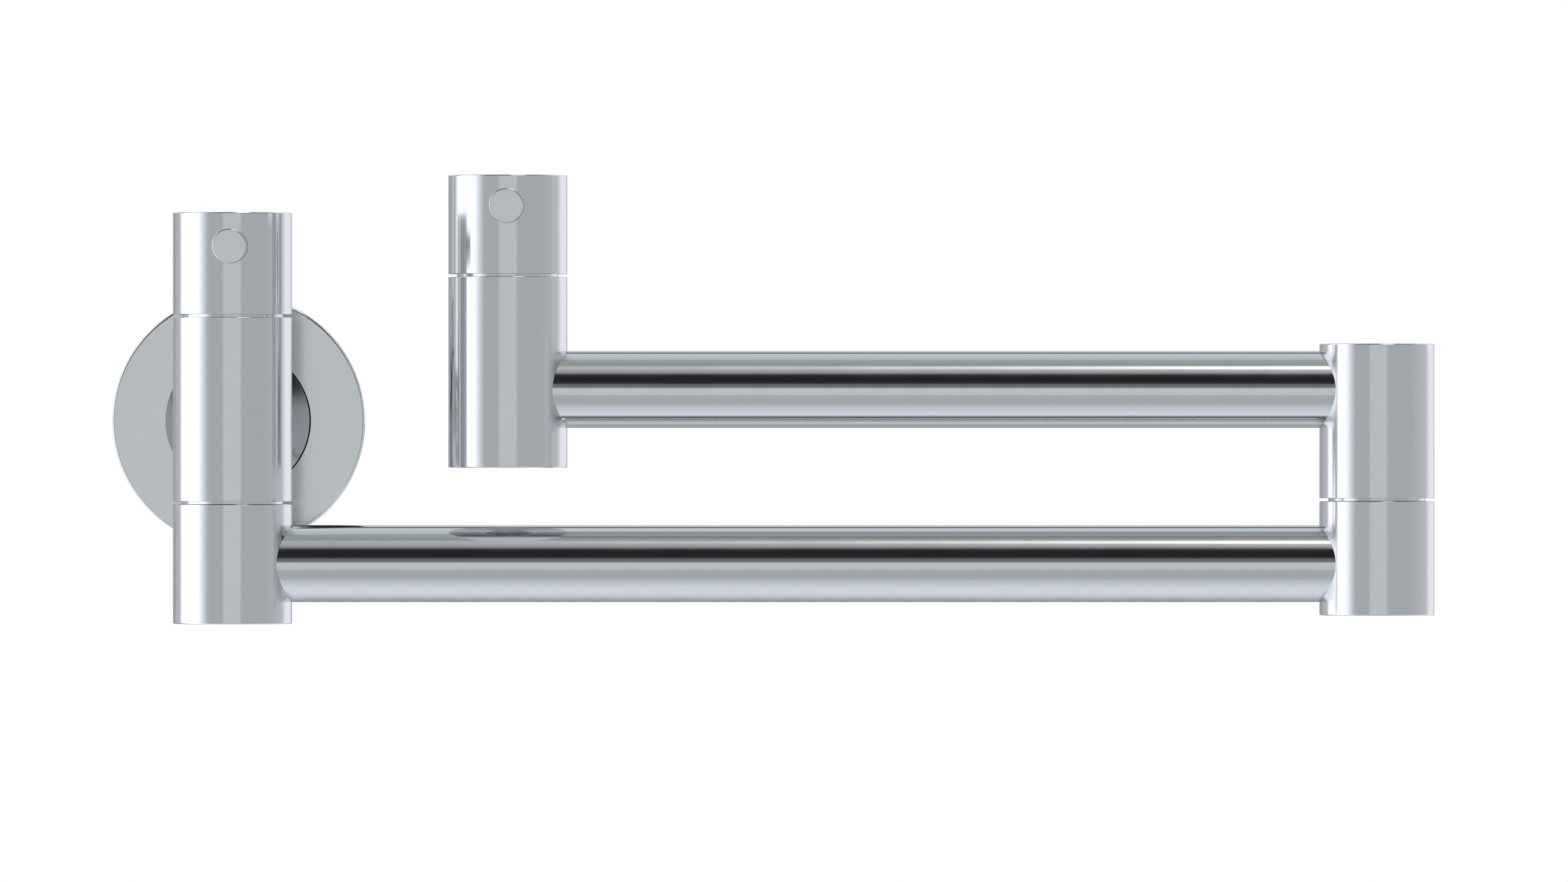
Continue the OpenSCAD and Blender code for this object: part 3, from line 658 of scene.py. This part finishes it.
def studio_world():
    """Polished metal sees a painted studio, the camera sees white, and all else a plain pale light.

    Level is the height of a direction above the horizon, bearing is its angle round the horizon from
    the camera and over is its angle over the top, all in degrees.
    """
    world = bpy.data.worlds.new("studio")
    bpy.context.scene.world = world
    world.use_nodes = True
    tree = Tree(world.node_tree)
    direction = tree.add("ShaderNodeSeparateXYZ", {0: tree.add("ShaderNodeTexCoord").outputs["Generated"]})
    x, y, z = direction.outputs
    front = tree.math("MULTIPLY", y, -1.0)
    bearing = tree.math("DEGREES", tree.math("ARCTAN2", x, front))
    over = tree.math("DEGREES", tree.math("ARCTAN2", z, front))
    level = tree.math("DEGREES", tree.math("ARCSINE", z))

    ring = painted(tree, bearing, ROUND_THE_HORIZON)
    arch = painted(tree, over, OVER_THE_TOP)
    for start, end, soft, beam in BEAMS:
        arch = tree.mix(tree.window(over, start, end, soft), arch, shown(beam))
    off_ring = tree.math("MAXIMUM", tree.step(z, 0.09, 0.24), tree.step(z, -0.3, -0.6))
    beside = tree.step(tree.math("ABSOLUTE", x), 0.1, 0.24)
    seen = tree.mix(beside, arch, tree.mix(off_ring, ring, arch))
    seen = with_panels(tree, seen, x, bearing, over, level)

    path = tree.add("ShaderNodeLightPath")
    mirrored = tree.math("MAXIMUM", path.outputs["Is Glossy Ray"], path.outputs["Is Transmission Ray"])
    unseen = tree.mix(mirrored, (0.86, 0.87, 0.88, 1), seen)
    colour = tree.mix(path.outputs["Is Camera Ray"], unseen, (1, 1, 1, 1))
    sky = tree.add("ShaderNodeBackground", {"Color": colour, "Strength": 1.0})
    tree.add("ShaderNodeOutputWorld", {"Surface": sky.outputs[0]})


def floor_material():
    """White but for a soft shadow, plain grey for stray light, and clear from below."""
    material, tree = new_material("floor")
    path = tree.add("ShaderNodeLightPath")
    glow = tree.add("ShaderNodeEmission", {"Color": (1, 1, 1, 1), "Strength": 0.62})
    matt = tree.add("ShaderNodeBsdfDiffuse", {"Color": (0.42, 0.42, 0.425, 1)})
    none = tree.add("ShaderNodeEmission", {"Strength": 0.0})
    looked_at = tree.math("MAXIMUM", path.outputs["Is Camera Ray"], path.outputs["Is Glossy Ray"])
    looked_at = tree.math("MAXIMUM", looked_at, path.outputs["Is Transmission Ray"])
    lift = tree.add("ShaderNodeMixShader", {0: looked_at, 1: none.outputs[0], 2: glow.outputs[0]})
    both = tree.add("ShaderNodeAddShader", {0: matt.outputs[0], 1: lift.outputs[0]})
    below = tree.add("ShaderNodeNewGeometry").outputs["Backfacing"]
    clear = tree.add("ShaderNodeBsdfTransparent")
    surface = tree.add("ShaderNodeMixShader", {0: below, 1: both.outputs[0], 2: clear.outputs[0]})
    tree.add("ShaderNodeOutputMaterial", {"Surface": surface.outputs[0]})
    return material


def studio_floor():
    """A round pale floor under the part."""
    mesh = bpy.data.meshes.new("floor")
    bm = bmesh.new()
    bmesh.ops.create_circle(bm, cap_ends=True, segments=96, radius=2.4)
    bm.to_mesh(mesh)
    bm.free()
    mesh.materials.append(floor_material())
    floor = bpy.data.objects.new("floor", mesh)
    floor.location = (0.17, -0.06, -0.3)
    floor.visible_glossy = False
    bpy.context.scene.collection.objects.link(floor)


def soft_lamp():
    """One large soft lamp from the upper left, for the pieces that aren't mirrors."""
    light = bpy.data.lights.new("soft_lamp", "AREA")
    light.shape = "RECTANGLE"
    light.size = 1.6
    light.size_y = 1.0
    light.energy = 14.0
    lamp = bpy.data.objects.new("soft_lamp", light)
    lamp.location = (-0.9, -1.4, 1.3)
    aim = Vector((0.17, -0.05, 0)) - lamp.location
    lamp.rotation_euler = aim.to_track_quat("-Z", "Y").to_euler()
    lamp.visible_glossy = False
    lamp.visible_camera = False
    bpy.context.scene.collection.objects.link(lamp)


def photo_camera():
    """The photograph's view: straight on, from far away."""
    data = bpy.data.cameras.new("photo_camera")
    data.sensor_width = 36.0
    data.lens = 363.4
    data.clip_end = 60.0
    camera = bpy.data.objects.new("photo_camera", data)
    camera.location = (0.16443, -4.779, -0.0061)
    camera.rotation_euler = (math.radians(90), 0, 0)
    bpy.context.scene.collection.objects.link(camera)
    bpy.context.scene.camera = camera


studio_world()
studio_floor()
soft_lamp()
photo_camera()
bpy.context.scene.view_settings.view_transform = "Standard"
